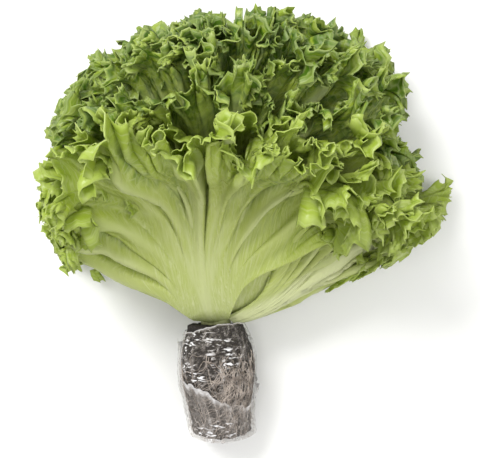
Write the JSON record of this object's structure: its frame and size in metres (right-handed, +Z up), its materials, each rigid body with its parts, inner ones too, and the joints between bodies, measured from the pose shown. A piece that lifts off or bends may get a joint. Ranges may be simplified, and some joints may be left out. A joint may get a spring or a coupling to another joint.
{
  "type": "lettuce head",
  "caption": "Crystal lettuce head with frilled leaves, sold living, its root plug wrapped in clear film, lying on its side.",
  "frame": {"origin": "middle of the bounding box's bottom face, on the surface the head lies on", "axes": "+Z up from the surface, +Y along the head from the root plug to the leaf tips, +X to the right seen from above with the tips away from the viewer"},
  "size_m": [0.2994, 0.312, 0.1989],
  "materials": {
    "leaf": "fresh leaf, waxy satin",
    "stem": "cut-free stem, matt",
    "soil": "damp peat bound by fine roots, matt",
    "film": "thin clear stretch film, glossy, creased"
  },
  "bodies": {
    "root": {"leaf_01": "leaf", "leaf_02": "leaf", "leaf_03": "leaf", "leaf_04": "leaf", "leaf_05": "leaf", "leaf_06": "leaf", "leaf_07": "leaf", "leaf_08": "leaf", "leaf_09": "leaf", "leaf_10": "leaf", "leaf_11": "leaf", "leaf_12": "leaf", "leaf_13": "leaf", "leaf_14": "leaf", "leaf_15": "leaf", "leaf_16": "leaf", "leaf_17": "leaf", "leaf_18": "leaf", "leaf_19": "leaf", "leaf_20": "leaf", "leaf_21": "leaf", "leaf_22": "leaf", "leaf_23": "leaf", "leaf_24": "leaf", "stem": "stem", "root_plug": "soil", "film_wrap": "film"}
  },
  "joints": []
}
